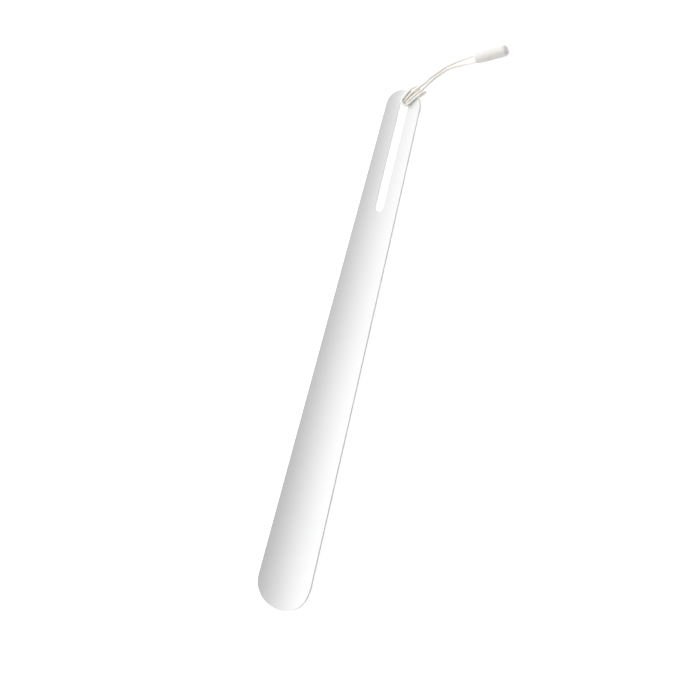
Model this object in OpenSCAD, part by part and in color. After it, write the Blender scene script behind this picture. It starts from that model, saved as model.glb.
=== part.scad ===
// Long shoehorn: a rolled sheet blade with a hanging slot, and a looped cord with a moulded end cap.
// It lies on its convex back. +Y runs from the wide tip to the narrow top end, +Z is up, and the
// origin is on the surface that it lies on, under the middle of the blade. Millimetres.

/* [Blade] */
// Length of the blade, from the tip to the top end
blade_l = 450; // [400:10:600]
// Width of the convex face at the wide round tip
tip_w = 49; // [44:1:54]
// Width of the convex face at the narrow round top end
top_w = 31; // [30:0.5:34]
// Thickness of the sheet
sheet_t = 1.6; // [1.4:0.1:1.6]
// Radius that the convex face is rolled to
roll_r = 42.6; // [42:0.2:60]
// Lean of the outer edges, which are cut square to the sheet before it is rolled
edge_lean = 28; // [22:1:34]

/* [Slot] */
// Width of the slot
slot_w = 6.8; // [6.8:0.2:8]
// Length of the slot, end to end
slot_l = 96; // [60:2:140]
// Sheet left between the slot and the top end
bridge_l = 9; // [8.8:0.1:9.2]

/* [Cord] */
// Diameter of the cord
cord_d = 2.2; // [1.8:0.1:2.2]
// Sides of the cord's tube
cord_sides = 8; // [8:1:12]

/* [Cord end] */
// Length of the end cap
cap_l = 29; // [27:0.5:34]
// Largest diameter of the end cap
cap_d = 10.2; // [10.2:0.1:11]
// Wall of the end cap at its mouth
cap_wall = 1.05; // [0.85:0.05:1.05]
// Depth that the cords and the plug reach into the cap
grip_l = 14; // [13:0.5:15]
// Diameter of the plug that wedges the two cords apart
plug_d = 3.3; // [2.6:0.1:3.3]

/* [Hidden] */
$fn = 96;

// Room left between the cord and what it passes
ease = 0.1;
// Height of the bridge over the surface, which leaves room for the cord under it
lift = cord_d + 2 * ease;
tilt = asin(lift / (blade_l - bridge_l));
top_y = blade_l / 2;

// Share of a circle that the uncut sheet is rolled through, and how far the cutters reach past it
sheet_sweep = 110;
over = 20;
reach = 60;

// Half width of an end, measured across the leaning direction in which its edge is cut
function across(half_w) =
    let (a = asin(half_w / roll_r))
    roll_r * (sin(a) * cos(edge_lean) + (1 - cos(a)) * sin(edge_lean));
tip_u = across(tip_w / 2);
top_u = across(top_w / 2);
taper = asin((tip_u - top_u) / (blade_l - tip_u - top_u));

// The cord's route, from the blade's top end at Y = 0. The hitch starts at the upper leg, goes over
// the bridge and down through the slot, back under the bridge, round the top end, across the front
// as a bight, round the top end again, under the bridge, up through the slot and out to the lower leg.
hitch_route = [
    [13.3, 8.6, 4.7], [11.2, 5.9, 5.6], [9.3, 3.6, 6.2], [7.3, 1.4, 6.1], [5.3, -0.7, 5.8],
    [3.6, -3, 5.5], [2.2, -5.6, 5.4], [0.9, -7.9, 5.3], [0.3, -9.1, 5.3], [-0.1, -9.8, 5.1],
    [-0.5, -10.5, 4.4], [-0.9, -11.1, 3.1], [-0.8, -10.6, 1.8], [-0.5, -9.7, 1.3], [0, -8.6, 1.2],
    [2.6, -5.4, 1.2], [5.2, -2, 1.2], [7.4, 0.4, 1.2], [8.6, 2.2, 1.6], [8.5, 3.5, 3], [6.8, 3.7, 4.4],
    [4.5, 2.5, 5.2], [2.6, 0.6, 5.4], [1, -1.9, 5.4], [-0.2, -4.4, 5.4], [-1, -6.6, 5.6], [-2, -9, 6.5],
    [-1.3, -11.5, 7.3], [1, -13.2, 7.2], [3.2, -13.2, 7], [4.6, -11.3, 6.6], [6.4, -8.6, 6.1],
    [8.6, -5.6, 6.4], [11.3, -2.9, 6.7], [13, -0.8, 6.3], [14.5, 0.6, 5.2], [15, 1.2, 3.8],
    [14.5, 0.9, 2.2], [12.8, -0.6, 1.4], [10.2, -3.1, 1.2], [6.8, -6.2, 1.2], [3.5, -9.2, 1.2],
    [2.6, -10.3, 1.2], [1.8, -11.2, 1.8], [1.5, -11.5, 3.1], [1.7, -11.4, 4.6], [2.3, -10.3, 5.4],
    [3.8, -8, 5.5], [5.6, -5.4, 5.7], [7.8, -3, 6.1], [9.9, -0.5, 6.3], [12.4, 2, 6.1], [14, 4.6, 5.5],
    [15.5, 7.4, 4.8]
];
upper_neck = [[14.8, 11.2, 4], [16.6, 14.2, 3.1], [18.7, 17, 2.3]];
lower_neck = [[17, 10, 4.1], [18.7, 12.8, 3.1], [20.6, 15.4, 2.3]];
upper_leg = [
    [21.4, 20.2, 1.4], [24.8, 24, 1.2], [31, 29.1, 1.2], [38, 33.8, 1.4],
    [44.5, 37.6, 3], [50.2, 40.7, 5.1]
];
lower_leg = [
    [23.2, 18.6, 1.4], [26.4, 22.2, 1.2], [33, 26.9, 1.2], [40.4, 30.6, 1.4],
    [47, 33.2, 3], [52.8, 35.5, 5.1]
];

// Mouth of the end cap and the way that its axis points, and the cords' places in it
mouth = [51.5, 38.1, cap_d / 2 + ease / 2];
cap_turn = 27.5;
cord_apart = 2.85;
bore_r = cap_d / 2 - cap_wall;
// Places along the cap's axis, from its mouth, and steps in from its radius
seat_s = grip_l + 3;
mouth_taper = 10;
mouth_in = 0.55;
corner_r = 3.6;
rim_in = 0.8;
seat_in = 0.7;
hollow_r = bore_r - seat_in;
end_wall = 2.5;

// Places and moves a piece from the cap's own axis, +Z from its mouth, to where the cap lies
module at_cap() {
    translate([mouth[0], top_y + mouth[1], mouth[2]])
        rotate([0, 90, cap_turn])
            children();
}

// Direction that a tube's first ring starts from
first_side = [0.3, 0.1, 1];

function unit(v) = v / norm(v);
function heading(route, i) =
    unit(route[min(i + 1, len(route) - 1)] - route[max(i - 1, 0)]);
function squared(n, t) = unit(n - (n * t) * t);
// One sideways direction for each point, carried along the route so that the tube doesn't twist
function sideways(route, i, n) =
    i == len(route) ? [] :
    let (m = squared(n, heading(route, i)))
    concat([m], sideways(route, i + 1, m));
function ring(p, t, m) = [
    for (k = [0 : cord_sides - 1])
        let (a = k * 360 / cord_sides)
        p + cord_d / 2 * (cos(a) * m + sin(a) * cross(t, m))
];
function wall(i) = [
    for (k = [0 : cord_sides - 1])
        let (a = i * cord_sides + k, b = i * cord_sides + (k + 1) % cord_sides)
        each [[a, a + cord_sides, b], [b, a + cord_sides, b + cord_sides]]
];

// A plain tube along a route
module tube(route) {
    last = len(route) - 1;
    m = sideways(route, 0, first_side);
    polyhedron(
        points = [for (i = [0 : last]) each ring(route[i], heading(route, i), m[i])],
        faces = concat(
            [[for (k = [0 : cord_sides - 1]) k]],
            [for (i = [0 : last - 1]) each wall(i)],
            [[for (k = [cord_sides - 1 : -1 : 0]) last * cord_sides + k]]
        )
    );
}

// A leg of the cord with its end gripped in the cap, at side 1 or -1 of the plug
function gripped(leg, side) = concat(leg, [
    for (s = [grip_l / 2, grip_l])
        [
            mouth[0] + s * cos(cap_turn) - side * cord_apart * sin(cap_turn),
            mouth[1] + s * sin(cap_turn) + side * cord_apart * cos(cap_turn),
            mouth[2]
        ]
]);

// The sheet, rolled about an axis along Y, with its lowest line at Z = 0
module rolled_sheet() {
    translate([0, 0, roll_r])
        rotate([-90, 0, 0])
            rotate([0, 0, 90 - sheet_sweep / 2])
                rotate_extrude(angle = sheet_sweep, $fn = 720)
                    translate([roll_r - sheet_t, -over])
                        square([sheet_t, blade_l + 2 * over]);
}

// The blade's outline on the right of its middle line, with the left side kept whole
module half_outline() {
    translate([-reach, -over])
        square([reach, blade_l + 2 * over]);
    translate([0, tip_u])
        circle(r = tip_u, $fn = 360);
    translate([0, blade_l - top_u])
        circle(r = top_u, $fn = 360);
    polygon([
        [-1, tip_u],
        [tip_u * cos(taper), tip_u + tip_u * sin(taper)],
        [top_u * cos(taper), blade_l - top_u + top_u * sin(taper)],
        [-1, blade_l - top_u]
    ]);
}

// Keeps what lies inside the outline, along a direction that leans in from side 1 or -1
module edge_cut(side) {
    mirror([side < 0 ? 1 : 0, 0, 0])
        rotate([0, -edge_lean, 0])
            translate([0, 0, -reach])
                linear_extrude(height = 2 * reach)
                    half_outline();
}

module slot_cut() {
    r = slot_w / 2;
    high = blade_l - bridge_l - r;
    low = blade_l - bridge_l - slot_l + r;
    translate([0, 0, -over])
        linear_extrude(height = 2 * over) {
            translate([0, low])
                circle(r = r);
            translate([0, high])
                circle(r = r);
            translate([-r, low])
                square([slot_w, high - low]);
        }
}

// The blade rests on its tip at one end and on the cord under its bridge at the other
module blade() {
    color("white")
        translate([0, -blade_l / 2, 0])
            rotate([tilt, 0, 0])
                difference() {
                    intersection() {
                        rolled_sheet();
                        edge_cut(1);
                        edge_cut(-1);
                    }
                    slot_cut();
                }
}

// The middle of the cord, in a loose cow hitch round the bridge
module cord_hitch() {
    color("ivory")
        translate([0, top_y, 0])
            tube(hitch_route);
}

// The short stretch of both legs that turns at the hitch
module cord_neck() {
    color("ivory")
        translate([0, top_y, 0]) {
            tube(upper_neck);
            tube(lower_neck);
        }
}

// The rest of both legs, into the end cap
module cord_legs() {
    color("ivory")
        translate([0, top_y, 0]) {
            tube(gripped(upper_leg, 1));
            tube(gripped(lower_leg, -1));
        }
}

// The plug between the two cord ends: a stem with a round nose in the mouth, and a foot in the bore
module end_plug() {
    stem_r = plug_d / 2;
    foot_s = grip_l + ease;
    color("linen")
        at_cap()
            rotate_extrude() {
                intersection() {
                    circle(r = stem_r);
                    translate([0, -stem_r])
                        square([stem_r, plug_d]);
                }
                square([stem_r, foot_s + 1]);
                translate([0, foot_s])
                    square([bore_r, seat_s - foot_s]);
            }
}

// The cap: an open mouth that widens to the full diameter, and a blunt far end with a round corner
module end_cap() {
    r = cap_d / 2;
    color("antiquewhite")
        at_cap()
            difference() {
                rotate_extrude() {
                    polygon([
                        [0, 0], [r - mouth_in - rim_in / 2, 0], [r - mouth_in, rim_in],
                        [r, mouth_taper], [r, cap_l - corner_r], [0, cap_l - corner_r]
                    ]);
                    square([r - corner_r, cap_l]);
                    intersection() {
                        translate([r - corner_r, cap_l - corner_r])
                            circle(r = corner_r);
                        square([r, cap_l]);
                    }
                }
                translate([0, 0, -1])
                    cylinder(h = seat_s + 1, r = bore_r);
                translate([0, 0, seat_s - ease])
                    cylinder(h = cap_l - end_wall - seat_s + ease, r = hollow_r);
            }
}

blade();
cord_hitch();
cord_neck();
cord_legs();
end_plug();
end_cap();
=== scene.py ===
"""Long shoehorn: a rolled, powder-coated blade with a hanging slot, and a looped cord whose ends
go into a moulded cap.

Metres, in the CAD frame: +Y runs to the narrow top end, +Z is up out of the hollow face, and the
blade lies on its convex back on the floor.
"""
import math

import bpy
import numpy as np
from mathutils import Matrix, Vector
from mathutils.geometry import delaunay_2d_cdt


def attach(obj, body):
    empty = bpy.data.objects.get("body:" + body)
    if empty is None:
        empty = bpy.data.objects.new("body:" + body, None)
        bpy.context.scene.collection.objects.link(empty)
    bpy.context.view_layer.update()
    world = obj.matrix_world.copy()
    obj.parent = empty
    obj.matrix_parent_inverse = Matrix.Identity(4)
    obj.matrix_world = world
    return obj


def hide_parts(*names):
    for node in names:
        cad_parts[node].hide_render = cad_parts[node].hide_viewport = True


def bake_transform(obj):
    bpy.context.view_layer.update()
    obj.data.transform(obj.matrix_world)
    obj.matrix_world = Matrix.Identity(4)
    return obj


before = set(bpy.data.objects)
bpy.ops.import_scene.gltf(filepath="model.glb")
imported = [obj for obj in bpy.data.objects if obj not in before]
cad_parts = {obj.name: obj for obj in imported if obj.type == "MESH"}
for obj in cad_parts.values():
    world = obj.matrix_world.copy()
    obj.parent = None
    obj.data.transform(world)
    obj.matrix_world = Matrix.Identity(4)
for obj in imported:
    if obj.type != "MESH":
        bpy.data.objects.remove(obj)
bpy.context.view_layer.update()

# ---------------------------------------------------------------- sizes, as in the CAD
BLADE_L = 0.450
TIP_W, TOP_W = 0.049, 0.031
SHEET_T = 0.0016
ROLL_R = 0.0426
EDGE_LEAN = math.radians(28)
SLOT_W, SLOT_L, BRIDGE_L = 0.0068, 0.096, 0.009
CORD_D = 0.0022
CAP_L, CAP_D, CAP_WALL, GRIP_L, PLUG_D = 0.029, 0.0102, 0.00105, 0.014, 0.0033
CAP_TURN = math.radians(27.5)
CORD_APART = 0.00285
EASE = 0.0001
LIFT = CORD_D + 2 * EASE
TILT = math.asin(LIFT / (BLADE_L - BRIDGE_L))
TOP_Y = BLADE_L / 2
MOUTH = Vector((0.0515, TOP_Y + 0.0381, (CAP_D + EASE) / 2))
CAP_AXIS = Vector((math.cos(CAP_TURN), math.sin(CAP_TURN), 0))
CAP_SIDE = Vector((-math.sin(CAP_TURN), math.cos(CAP_TURN), 0))

# ---------------------------------------------------------------- camera
VIEW_SIDE = math.radians(18)     # how far the view stands off the face, towards the cord's side
VIEW_ROLL = math.radians(13.9)   # how far the blade leans in the picture
FRAME_W = 0.5877                 # width of the picture at the blade
AIM_RIGHT, AIM_UP = 0.0042, 0.00034   # the middle of the picture, from the blade's middle
LENS, SENSOR = 300, 36

back = Vector((math.sin(VIEW_SIDE), 0, math.cos(VIEW_SIDE)))
flat_right = Vector((math.cos(VIEW_SIDE), 0, -math.sin(VIEW_SIDE)))
right = math.cos(VIEW_ROLL) * flat_right + math.sin(VIEW_ROLL) * Vector((0, 1, 0))
up = back.cross(right)
aim = AIM_RIGHT * right + AIM_UP * up

camera_data = bpy.data.cameras.new("camera")
camera_data.lens = LENS
camera_data.sensor_width = SENSOR
camera_data.clip_start, camera_data.clip_end = 0.05, 60
camera = bpy.data.objects.new("camera", camera_data)
bpy.context.scene.collection.objects.link(camera)
place = Matrix((right, up, back)).transposed().to_4x4()
place.translation = aim + back * (LENS / SENSOR * FRAME_W)
camera.matrix_world = place
bpy.context.scene.camera = camera


# ---------------------------------------------------------------- small helpers
def new_object(name, verts, faces, material=None):
    mesh = bpy.data.meshes.new(name)
    mesh.from_pydata([tuple(v) for v in verts], [], faces)
    mesh.validate()
    mesh.shade_smooth()
    obj = bpy.data.objects.new(name, mesh)
    bpy.context.scene.collection.objects.link(obj)
    if material:
        mesh.materials.append(material)
    return obj


def new_material(name):
    mat = bpy.data.materials.new(name)
    mat.use_nodes = True
    tree = mat.node_tree
    tree.nodes.clear()
    out = tree.nodes.new("ShaderNodeOutputMaterial")
    bsdf = tree.nodes.new("ShaderNodeBsdfPrincipled")
    tree.links.new(bsdf.outputs["BSDF"], out.inputs["Surface"])
    return mat, tree, bsdf


def noise(tree, scale, detail=2.0, rough=0.5):
    coord = tree.nodes.new("ShaderNodeTexCoord")
    tex = tree.nodes.new("ShaderNodeTexNoise")
    tex.inputs["Scale"].default_value = scale
    tex.inputs["Detail"].default_value = detail
    tex.inputs["Roughness"].default_value = rough
    tree.links.new(coord.outputs["Object"], tex.inputs["Vector"])
    return tex.outputs["Fac"]


def ramp(tree, fac, *stops):
    """stops are (position, colour), where a colour is three numbers, or one for a grey."""
    node = tree.nodes.new("ShaderNodeValToRGB")
    while len(node.color_ramp.elements) < len(stops):
        node.color_ramp.elements.new(0.5)
    for element, (at, colour) in zip(node.color_ramp.elements, stops):
        element.position = at
        element.color = (*colour, 1) if len(colour) == 3 else (colour[0],) * 3 + (1,)
    tree.links.new(fac, node.inputs["Fac"])
    return node.outputs["Color"]


def bump(tree, heights, bsdf):
    """heights is [(height output, strength, distance)], one bump on the other."""
    last = None
    for height, strength, distance in heights:
        node = tree.nodes.new("ShaderNodeBump")
        node.inputs["Strength"].default_value = strength
        node.inputs["Distance"].default_value = distance
        tree.links.new(height, node.inputs["Height"])
        if last:
            tree.links.new(last, node.inputs["Normal"])
        last = node.outputs["Normal"]
    tree.links.new(last, bsdf.inputs["Normal"])


# ---------------------------------------------------------------- materials
def powder_coat():
    mat, tree, bsdf = new_material("powder_coat")
    tone = noise(tree, 9, 3)
    tree.links.new(ramp(tree, tone, (0.3, (0.815, 0.816, 0.818)), (0.7, (0.835, 0.836, 0.838))),
                   bsdf.inputs["Base Color"])
    gloss = noise(tree, 140, 3)
    tree.links.new(ramp(tree, gloss, (0.3, (0.40,)), (0.7, (0.50,))), bsdf.inputs["Roughness"])
    bump(tree, [(noise(tree, 900, 2), 0.10, 0.00005), (noise(tree, 260, 1), 0.06, 0.0001)], bsdf)
    bsdf.inputs["Specular IOR Level"].default_value = 0.35
    return mat


def braid():
    mat, tree, bsdf = new_material("cord_braid")
    # Painted shade: the cord's base colour runs from warm tan in the braid's crevices to pale on
    # its crowns, on top of the braid's real dents.
    weave_shade = tree.nodes.new("ShaderNodeAttribute")
    weave_shade.attribute_name = "weave_shade"
    tree.links.new(ramp(tree, weave_shade.outputs["Fac"], (0.0, (0.77, 0.705, 0.62)),
                        (0.4, (0.86, 0.825, 0.775)), (1.0, (0.90, 0.88, 0.845))),
                   bsdf.inputs["Base Color"])
    bsdf.inputs["Roughness"].default_value = 0.85
    bsdf.inputs["Specular IOR Level"].default_value = 0.25
    bsdf.inputs["Sheen Weight"].default_value = 0.2
    bsdf.inputs["Subsurface Weight"].default_value = 0.4
    bsdf.inputs["Subsurface Radius"].default_value = (1.0, 0.95, 0.88)
    bsdf.inputs["Subsurface Scale"].default_value = 0.0012
    bsdf.inputs["Sheen Roughness"].default_value = 0.5
    bump(tree, [(noise(tree, 9000, 3, 0.6), 0.35, 0.00004)], bsdf)
    return mat


def moulded(name, low, high, rough, milky):
    mat, tree, bsdf = new_material(name)
    tree.links.new(ramp(tree, noise(tree, 220, 3), (0.3, low), (0.7, high)),
                   bsdf.inputs["Base Color"])
    tree.links.new(ramp(tree, noise(tree, 700, 2), (0.3, (rough - 0.06,)), (0.7, (rough + 0.06,))),
                   bsdf.inputs["Roughness"])
    bsdf.inputs["Subsurface Weight"].default_value = milky
    bsdf.inputs["Subsurface Radius"].default_value = (1.0, 0.95, 0.88)
    bsdf.inputs["Subsurface Scale"].default_value = 0.002
    bump(tree, [(noise(tree, 2600, 2), 0.12, 0.00004)], bsdf)
    return mat


COAT = powder_coat()
BRAID = braid()
CAP_PLASTIC = moulded("cap_plastic", (0.84, 0.812, 0.78), (0.88, 0.852, 0.82), 0.6, 0.3)
PLUG_PLASTIC = moulded("plug_plastic", (0.86, 0.85, 0.82), (0.89, 0.88, 0.855), 0.5, 0.15)


# ---------------------------------------------------------------- the cord
# The CAD's own route, with Y from the blade's top end
HITCH = [
    (0.0133, 0.0086, 0.0047), (0.0112, 0.0059, 0.0056), (0.0093, 0.0036, 0.0062),
    (0.0073, 0.0014, 0.0061), (0.0053, -0.0007, 0.0058), (0.0036, -0.003, 0.0055),
    (0.0022, -0.0056, 0.0054), (0.0009, -0.0079, 0.0053), (0.0003, -0.0091, 0.0053),
    (-0.0001, -0.0098, 0.0051), (-0.0005, -0.0105, 0.0044), (-0.0009, -0.0111, 0.0031),
    (-0.0008, -0.0106, 0.0018), (-0.0005, -0.0097, 0.0013), (0, -0.0086, 0.0012),
    (0.0026, -0.0054, 0.0012), (0.0052, -0.002, 0.0012), (0.0074, 0.0004, 0.0012),
    (0.0086, 0.0022, 0.0016), (0.0085, 0.0035, 0.003), (0.0068, 0.0037, 0.0044),
    (0.0045, 0.0025, 0.0052), (0.0026, 0.0006, 0.0054), (0.001, -0.0019, 0.0054),
    (-0.0002, -0.0044, 0.0054), (-0.001, -0.0066, 0.0056), (-0.002, -0.009, 0.0065),
    (-0.0013, -0.0115, 0.0073), (0.001, -0.0132, 0.0072), (0.0032, -0.0132, 0.007),
    (0.0046, -0.0113, 0.0066), (0.0064, -0.0086, 0.0061), (0.0086, -0.0056, 0.0064),
    (0.0113, -0.0029, 0.0067), (0.013, -0.0008, 0.0063), (0.0145, 0.0006, 0.0052),
    (0.015, 0.0012, 0.0038), (0.0145, 0.0009, 0.0022), (0.0128, -0.0006, 0.0014),
    (0.0102, -0.0031, 0.0012), (0.0068, -0.0062, 0.0012), (0.0035, -0.0092, 0.0012),
    (0.0026, -0.0103, 0.0012), (0.0018, -0.0112, 0.0018), (0.0015, -0.0115, 0.0031),
    (0.0017, -0.0114, 0.0046), (0.0023, -0.0103, 0.0054), (0.0038, -0.008, 0.0055),
    (0.0056, -0.0054, 0.0057), (0.0078, -0.003, 0.0061), (0.0099, -0.0005, 0.0063),
    (0.0124, 0.002, 0.0061), (0.014, 0.0046, 0.0055), (0.0155, 0.0074, 0.0048),
]
UPPER_NECK = [(0.0148, 0.0112, 0.004), (0.0166, 0.0142, 0.0031), (0.0187, 0.017, 0.0023)]
LOWER_NECK = [(0.017, 0.01, 0.0041), (0.0187, 0.0128, 0.0031), (0.0206, 0.0154, 0.0023)]
UPPER_LEG = [(0.0214, 0.0202, 0.0014), (0.0248, 0.024, 0.0012), (0.031, 0.0291, 0.0012),
             (0.038, 0.0338, 0.0014), (0.0445, 0.0376, 0.003), (0.0502, 0.0407, 0.0051)]
LOWER_LEG = [(0.0232, 0.0186, 0.0014), (0.0264, 0.0222, 0.0012), (0.033, 0.0269, 0.0012),
             (0.0404, 0.0306, 0.0014), (0.047, 0.0332, 0.003), (0.0528, 0.0355, 0.0051)]


def from_top(points):
    return [Vector((x, TOP_Y + y, z)) for x, y, z in points]


def gripped(side):
    """The two points of a leg's end inside the cap, on one side (1 or -1) of the plug."""
    return [MOUTH + CAP_AXIS * s + CAP_SIDE * (side * CORD_APART) for s in (GRIP_L / 2, GRIP_L)]


# The real cord, from one end in the cap to the other
whole = (
    list(reversed(gripped(1))) + from_top(reversed(UPPER_LEG)) + from_top(reversed(UPPER_NECK))
    + from_top(HITCH) + from_top(LOWER_NECK) + from_top(LOWER_LEG) + gripped(-1)
)
SPAN_STEPS = 40   # points worked out between two points of the route


def smooth_line(points, step):
    """An even line through the points: a centripetal Catmull-Rom curve, resampled at about step.

    Returns the line, each of its points' distance along it, and the given points' distances.
    """
    p = np.array([tuple(v) for v in points])
    p = np.vstack([2 * p[0] - p[1], p, 2 * p[-1] - p[-2]])
    line, marks = [], []
    for i in range(1, len(p) - 2):
        p0, p1, p2, p3 = p[i - 1:i + 3]
        t0 = 0.0
        t1 = t0 + math.sqrt(np.linalg.norm(p1 - p0))
        t2 = t1 + math.sqrt(np.linalg.norm(p2 - p1))
        t3 = t2 + math.sqrt(np.linalg.norm(p3 - p2))
        marks.append(len(line))
        for t in np.linspace(t1, t2, SPAN_STEPS, endpoint=False):
            a1 = (t1 - t) / (t1 - t0) * p0 + (t - t0) / (t1 - t0) * p1
            a2 = (t2 - t) / (t2 - t1) * p1 + (t - t1) / (t2 - t1) * p2
            a3 = (t3 - t) / (t3 - t2) * p2 + (t - t2) / (t3 - t2) * p3
            b1 = (t2 - t) / (t2 - t0) * a1 + (t - t0) / (t2 - t0) * a2
            b2 = (t3 - t) / (t3 - t1) * a2 + (t - t1) / (t3 - t1) * a3
            line.append((t2 - t) / (t2 - t1) * b1 + (t - t1) / (t2 - t1) * b2)
    line.append(p[-2])
    marks.append(len(line) - 1)
    line = np.array(line)
    s = np.concatenate([[0], np.cumsum(np.linalg.norm(np.diff(line, axis=0), axis=1))])
    count = int(round(s[-1] / step)) + 1
    even = np.linspace(0, s[-1], count)
    out = np.stack([np.interp(even, s, line[:, k]) for k in range(3)], axis=1)
    return out, even, s[marks]


CORD_STEP = 0.00024
CORD_SIDES = 28
CARRIERS = 7           # strands of the braid that lean each way
BRAID_PITCH = 0.0013   # length of one diamond of the braid
BRAID_DEEP = 0.00007
PATH_EVERY = 8         # points of the line for each point of the path that cord_piece returns

line, along, stations = smooth_line(whole, CORD_STEP)
headings = np.gradient(line, axis=0)
headings /= np.linalg.norm(headings, axis=1)[:, None]
side = np.cross(headings[0], (0.0, 0.0, 1.0))
side /= np.linalg.norm(side)
sides = []
for heading in headings:
    side = side - heading * (side @ heading)
    side /= np.linalg.norm(side)
    sides.append(side)
sides = np.array(sides)
overs = np.cross(headings, sides)


def cord_piece(name, first, last):
    """A braided tube along the line between two stations, closed at both ends."""
    a, b = int(round(first / CORD_STEP)), int(round(last / CORD_STEP))
    a, b = max(a, 0), min(b, len(line) - 1)
    k = np.arange(CORD_SIDES)
    turn = 2 * math.pi * k / CORD_SIDES
    verts, weave_shade = [], []
    for i in range(a, b + 1):
        one = CARRIERS * k / CORD_SIDES + along[i] / BRAID_PITCH
        two = CARRIERS * k / CORD_SIDES - along[i] / BRAID_PITCH
        h = np.sqrt(np.abs(np.sin(math.pi * one) * np.sin(math.pi * two)))
        r = CORD_D / 2 - BRAID_DEEP * (1 - h)
        ring = line[i] + r[:, None] * (
            np.cos(turn)[:, None] * sides[i] + np.sin(turn)[:, None] * overs[i])
        verts.extend(ring)
        weave_shade.extend(h)
    n, m = b - a + 1, CORD_SIDES
    faces = [
        (i * m + j, i * m + (j + 1) % m, (i + 1) * m + (j + 1) % m, (i + 1) * m + j)
        for i in range(n - 1) for j in range(m)
    ]
    faces.append(tuple(reversed(range(m))))
    faces.append(tuple(range((n - 1) * m, n * m)))
    obj = new_object(name, verts, faces, BRAID)
    # The braid's height at each point; the cord's material turns the low points into painted shade.
    attribute = obj.data.attributes.new("weave_shade", "FLOAT", "POINT")
    attribute.data.foreach_set("value", np.array(weave_shade, np.float32))
    path = line[a:b + 1:PATH_EVERY].tolist()
    if (b - a) % PATH_EVERY:
        path.append(line[b].tolist())
    return obj, path, float(along[b] - along[a])


# The two seams between the pieces: the middle points of the necks
count_gripped, count_leg = len(gripped(1)), len(UPPER_LEG)
seam_upper = stations[count_gripped + count_leg + 1]
seam_lower = stations[count_gripped + count_leg + len(UPPER_NECK) + len(HITCH) + 1]

middle, middle_path, middle_len = cord_piece("cord_hitch_braid", seam_upper, seam_lower)
upper_leg, upper_path, upper_len = cord_piece("cord_upper_leg_braid", 0, seam_upper)
lower_leg, lower_path, lower_len = cord_piece("cord_lower_leg_braid", seam_lower, along[-1])
upper_path.reverse()


# ---------------------------------------------------------------- the cap and the plug
def turned(name, profile, material, turns):
    """A body of revolution about the cap's axis from (radius, distance from the mouth) points.

    turns are (angle, out) pairs, where out(radius, distance) is how far the surface stands proud.
    """
    verts, faces, rings = [], [], []
    for r, s in profile:
        if r == 0:
            rings.append([len(verts)])
            verts.append(MOUTH + CAP_AXIS * s)
            continue
        ring = []
        for turn, out in turns:
            ring.append(len(verts))
            rr = r + out(r, s)
            verts.append(MOUTH + CAP_AXIS * s + CAP_SIDE * (rr * math.cos(turn))
                         + Vector((0, 0, rr * math.sin(turn))))
        rings.append(ring)
    for one, two in zip(rings, rings[1:]):
        m = max(len(one), len(two))
        for j in range(m):
            k = (j + 1) % m
            if len(one) == 1:
                faces.append((one[0], two[k], two[j]))
            elif len(two) == 1:
                faces.append((one[j], one[k], two[0]))
            else:
                faces.append((one[j], one[k], two[k], two[j]))
    obj = new_object(name, verts, faces, material)
    obj.data.set_sharp_from_angle(angle=math.radians(50))
    return obj


def arc(cx, cy, r, a0, a1, n):
    return [(cx + r * math.cos(math.radians(a0 + (a1 - a0) * i / n)),
             cy + r * math.sin(math.radians(a0 + (a1 - a0) * i / n))) for i in range(n + 1)]


def cap():
    r, bore = CAP_D / 2, CAP_D / 2 - CAP_WALL
    edge, lip = 0.0004, 0.0003           # rounding of the mouth, outside and in the bore
    mouth_r, full = r - 0.00052, 0.010   # narrower at the mouth, and full width from there on
    corner = 0.0036                      # rounding of the far end
    gate, gate_deep = 0.0007, 0.00015    # the moulding mark in the middle of the far end
    seat = 0.0165                        # how far in the modelled bore goes
    outside = arc(mouth_r - edge, edge, edge, -90, 0, 6)
    outside += [(mouth_r + (r - mouth_r) * math.sin(math.pi * i / 20),
                 edge + (full - edge) * i / 10) for i in range(1, 11)]
    outside += [(r, full + (CAP_L - corner - full) * i / 8) for i in range(1, 8)]
    outside += arc(r - corner, CAP_L - corner, corner, 0, 90, 12)
    outside += [(gate + 0.0002, CAP_L), (gate, CAP_L - gate_deep),
                (gate - 0.0003, CAP_L - gate_deep), (0, CAP_L - gate_deep)]
    bore_wall = [(0, seat), (bore - lip, seat), (bore, seat - lip), (bore, 0.008), (bore, 0.002)]
    bore_wall += arc(bore + lip, lip, lip, 180, 270, 5)
    seam = math.radians(1.6)             # half the width of the parting line
    line_proud = 0.00005
    turns, n = [], 88

    def line_up(r_here, s_here):
        on_side = r_here > r - 0.0012 and 0.0006 < s_here < CAP_L - 0.0008
        return line_proud if on_side else 0

    def plain(r_here, s_here):
        return 0

    for base in (math.pi / 2, -math.pi / 2):
        turns += [(base - seam, plain), (base, line_up), (base + seam, plain)]
    for i in range(n):
        t = -math.pi + 2 * math.pi * (i + 0.5) / n
        if min(abs(t - math.pi / 2), abs(t + math.pi / 2)) > seam * 1.6:
            turns.append((t, plain))
    turns.sort(key=lambda x: x[0] if x[0] > -math.pi / 2 - 2 * seam else x[0] + 2 * math.pi)
    return turned("end_cap_moulded", bore_wall + outside, CAP_PLASTIC, turns)


def plug():
    r, n = PLUG_D / 2, 40
    turns = [(2 * math.pi * i / n, lambda a, b: 0) for i in range(n)]
    profile = [(0, -r)] + arc(0, 0, r, -78, 0, 8) + [(r, 0.004), (r, GRIP_L), (0, GRIP_L)]
    return turned("end_plug_moulded", profile, PLUG_PLASTIC, turns)


cap_piece, plug_piece = cap(), plug()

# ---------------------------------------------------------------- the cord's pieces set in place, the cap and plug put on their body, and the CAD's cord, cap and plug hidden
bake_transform(middle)
for leg in (upper_leg, lower_leg):
    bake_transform(leg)
for piece in (cap_piece, plug_piece):
    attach(piece, "cord_tail")

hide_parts("cord_hitch", "cord_neck")
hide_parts("cord_legs")
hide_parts("end_cap")
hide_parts("end_plug")


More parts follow.
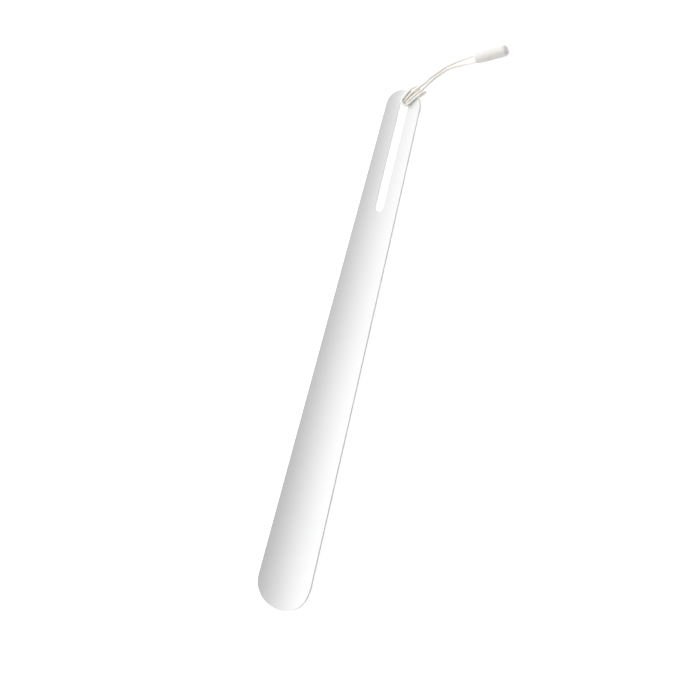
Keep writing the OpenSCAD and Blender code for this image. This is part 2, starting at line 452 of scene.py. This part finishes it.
# ---------------------------------------------------------------- the blade
MID_R = ROLL_R - SHEET_T / 2
EDGE_R = 0.00035            # rounding of the sheet's edges
RIM_FLAT = 0.0005           # flat strip between the rounding and the triangles
GRID_X, GRID_Y = 0.003, 0.0032
GRID_HALF = 0.03            # wider than the half sheet, unrolled
GRID_CLEAR = 0.0014         # room between the rim and the grid


def across(half):
    """How far a point that is half across the face lies along the direction that the edge leans."""
    a = math.asin(half / ROLL_R)
    return ROLL_R * (math.sin(a) * math.cos(EDGE_LEAN) + (1 - math.cos(a)) * math.sin(EDGE_LEAN))


def unrolled(u):
    """Distance along the sheet from its middle line, for a point u across the leaning direction."""
    a = EDGE_LEAN + math.asin((u - ROLL_R * math.sin(EDGE_LEAN)) / MID_R)
    return MID_R * max(a, 0.0)


def outline():
    """The sheet's outline, unrolled: two round ends and a straight taper."""
    tip, top = across(TIP_W / 2), across(TOP_W / 2)
    taper = math.asin((tip - top) / (BLADE_L - tip - top))
    half = [(tip * math.cos(a), tip + tip * math.sin(a))
            for a in np.linspace(-math.pi / 2, taper, 56)]
    start = half[-1]
    stop = (top * math.cos(taper), BLADE_L - top + top * math.sin(taper))
    half += [(start[0] + (stop[0] - start[0]) * t, start[1] + (stop[1] - start[1]) * t)
             for t in np.linspace(0, 1, 160)[1:-1]]
    half += [(top * math.cos(a), BLADE_L - top + top * math.sin(a))
             for a in np.linspace(taper, math.pi / 2, 40)]
    right_side = [(unrolled(u), y) for u, y in half]
    left_side = [(-x, y) for x, y in reversed(right_side[1:-1])]
    return np.array(right_side + left_side)


def slot_outline():
    """The slot's outline, unrolled, running the other way round."""
    r = SLOT_W / 2
    high, low = BLADE_L - BRIDGE_L - r, BLADE_L - BRIDGE_L - SLOT_L + r
    ends = [(r * math.cos(a), high + r * math.sin(a)) for a in np.linspace(0, math.pi, 25)]
    ends += [(-r, y) for y in np.linspace(high, low, 40)[1:-1]]
    ends += [(r * math.cos(a), low + r * math.sin(a))
             for a in np.linspace(math.pi, 2 * math.pi, 25)]
    ends += [(r, y) for y in np.linspace(low, high, 40)[1:-1]]
    return np.array([(MID_R * math.asin(x / MID_R), y) for x, y in reversed(ends)])


def outward(loop):
    """Unit vectors square to a closed loop, out of the sheet."""
    t = np.roll(loop, -1, axis=0) - np.roll(loop, 1, axis=0)
    t /= np.linalg.norm(t, axis=1)[:, None]
    return np.stack([t[:, 1], -t[:, 0]], axis=1)


def inside(loop, points):
    """Which of the points lie inside a closed loop."""
    x, y = points[:, 0], points[:, 1]
    hit = np.zeros(len(points), bool)
    for (x0, y0), (x1, y1) in zip(loop, np.roll(loop, -1, axis=0)):
        if y0 == y1:
            continue
        cross = (y0 > y) != (y1 > y)
        hit ^= cross & (x < (x1 - x0) * (y - y0) / (y1 - y0) + x0)
    return hit


def on_sheet(p, depth):
    """Where a point of the unrolled sheet lies, depth below the hollow face.

    Returns the point, the face's own normal there, and the direction across the sheet.
    """
    a = p[0] / MID_R
    rho = ROLL_R - SHEET_T + depth
    point = Vector((rho * math.sin(a), p[1], ROLL_R - rho * math.cos(a)))
    return point, Vector((-math.sin(a), 0, math.cos(a))), Vector((math.cos(a), 0, math.sin(a)))


def blade():
    loops = [outline(), slot_outline()]
    ways = [outward(l) for l in loops]
    skirt = EDGE_R + RIM_FLAT
    # Across an edge, from the hollow face to the back: (inset, depth, turn of the normal)
    profile = [(skirt, 0.0, 0.0)]
    for i in range(5):
        f = math.pi / 2 * i / 4
        profile.append((EDGE_R * (1 - math.sin(f)), EDGE_R * (1 - math.cos(f)), f))
    profile += [(a, SHEET_T - d, math.pi - f) for a, d, f in reversed(profile)]

    spread = np.arange(-GRID_HALF, GRID_HALF + 0.0001, GRID_X)
    rows = np.arange(0.001, BLADE_L, GRID_Y)
    grid = np.array([(x + (GRID_X / 2 if k % 2 else 0), y)
                     for k, y in enumerate(rows) for x in spread])
    rims = [l - w * skirt for l, w in zip(loops, ways)]
    safe = [l - w * (skirt + GRID_CLEAR) for l, w in zip(loops, ways)]
    grid = grid[inside(safe[0], grid) & ~inside(safe[1], grid)]
    flat = np.vstack([rims[0], rims[1], grid])
    n0, n1 = len(rims[0]), len(rims[1])
    edges = [(i, (i + 1) % n0) for i in range(n0)]
    edges += [(n0 + i, n0 + (i + 1) % n1) for i in range(n1)]
    points, _, tris, origin, _, _ = delaunay_2d_cdt(
        [Vector(p) for p in flat.tolist()], edges, [], 0, 1e-8)
    points = np.array([tuple(p) for p in points])
    middles = np.array([points[list(t)].mean(axis=0) for t in tris])
    keep = inside(rims[0], middles) & ~inside(rims[1], middles)
    tris = [tuple(t) for t, k in zip(tris, keep) if k]
    back_to = [o[0] for o in origin]

    verts, normals = [], []
    ids = {}

    def add(p, depth, way, f):
        point, face_up, flat_out = on_sheet(p, depth)
        out = Vector((flat_out.x * way[0], way[1], flat_out.z * way[0]))
        verts.append(point)
        normals.append((face_up * math.cos(f) + out * math.sin(f)).normalized())
        return len(verts) - 1

    faces = []
    for which, (loop, way) in enumerate(zip(loops, ways)):
        rings = [[add(p - w * inset, depth, w, f) for p, w in zip(loop, way)]
                 for inset, depth, f in profile]
        first = 0 if which == 0 else n0
        for j in range(len(loop)):
            ids[("up", first + j)] = rings[0][j]
            ids[("down", first + j)] = rings[-1][j]
        for one, two in zip(rings, rings[1:]):
            m = len(one)
            faces += [(one[j], two[j], two[(j + 1) % m], one[(j + 1) % m]) for j in range(m)]
    for i in range(n0 + n1, len(flat)):
        ids[("up", i)] = add(flat[i], 0.0, (0, 0), 0.0)
        ids[("down", i)] = add(flat[i], SHEET_T, (0, 0), math.pi)
    for t in tris:
        a, b, c = (back_to[i] for i in t)
        faces.append(tuple(ids[("up", i)] for i in (a, b, c)))
        faces.append(tuple(ids[("down", i)] for i in (c, b, a)))

    tilt = Matrix.Rotation(TILT, 4, "X")
    verts = [tilt @ v + Vector((0, -BLADE_L / 2, 0)) for v in verts]
    normals = [tuple(tilt @ n) for n in normals]
    obj = new_object("blade_coated", verts, faces, COAT)
    obj.data.normals_split_custom_set_from_vertices(normals)
    return obj


blade_piece = blade()
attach(blade_piece, "shoehorn")
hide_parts("blade")

# ---------------------------------------------------------------- floor and light
FLOOR_HALF, FLOOR_DROP, FLOOR_GLOW = 20, 0.00005, 0.50
SKY_DIM, SKY_BRIGHT = 0.245, 2.9
KEY_TURN = math.radians(38)                              # the bright side leans to the left
KEY_RIM, KEY_CORE = math.radians(62), math.radians(12)   # where it starts and is full

floor_mat, _, floor_bsdf = new_material("floor_paper")
floor_bsdf.inputs["Base Color"].default_value = (0.9, 0.9, 0.9, 1)
floor_bsdf.inputs["Roughness"].default_value = 0.9
floor_bsdf.inputs["Specular IOR Level"].default_value = 0.1
floor_bsdf.inputs["Emission Color"].default_value = (1, 1, 1, 1)
floor_bsdf.inputs["Emission Strength"].default_value = FLOOR_GLOW
floor_corners = [(x * FLOOR_HALF, y * FLOOR_HALF, 0)
                 for x, y in ((-1, -1), (1, -1), (1, 1), (-1, 1))]
floor = new_object("floor", floor_corners, [(0, 1, 2, 3)], floor_mat)
floor.location.z = -FLOOR_DROP

world = bpy.data.worlds.new("studio")
world.use_nodes = True
sky = world.node_tree
sky.nodes.clear()
towards = Vector((-math.sin(KEY_TURN), 0.06, math.cos(KEY_TURN))).normalized()
where = sky.nodes.new("ShaderNodeTexCoord")
facing = sky.nodes.new("ShaderNodeVectorMath")
facing.operation = "DOT_PRODUCT"
facing.inputs[1].default_value = towards
sky.links.new(where.outputs["Generated"], facing.inputs[0])
glow = sky.nodes.new("ShaderNodeMapRange")
glow.interpolation_type = "SMOOTHSTEP"
glow.inputs["From Min"].default_value = math.cos(KEY_RIM)
glow.inputs["From Max"].default_value = math.cos(KEY_CORE)
glow.inputs["To Min"].default_value = SKY_DIM
glow.inputs["To Max"].default_value = SKY_BRIGHT
sky.links.new(facing.outputs["Value"], glow.inputs["Value"])
lit = sky.nodes.new("ShaderNodeBackground")
sky.links.new(glow.outputs["Result"], lit.inputs["Strength"])
seen = sky.nodes.new("ShaderNodeBackground")
seen.inputs["Color"].default_value = (1, 1, 1, 1)
ray = sky.nodes.new("ShaderNodeLightPath")
pick = sky.nodes.new("ShaderNodeMixShader")
sky.links.new(ray.outputs["Is Camera Ray"], pick.inputs["Fac"])
sky.links.new(lit.outputs["Background"], pick.inputs[1])
sky.links.new(seen.outputs["Background"], pick.inputs[2])
world_out = sky.nodes.new("ShaderNodeOutputWorld")
sky.links.new(pick.outputs["Shader"], world_out.inputs["Surface"])
bpy.context.scene.world = world

bpy.context.scene.view_settings.view_transform = "Standard"
bpy.context.scene.view_settings.look = "None"
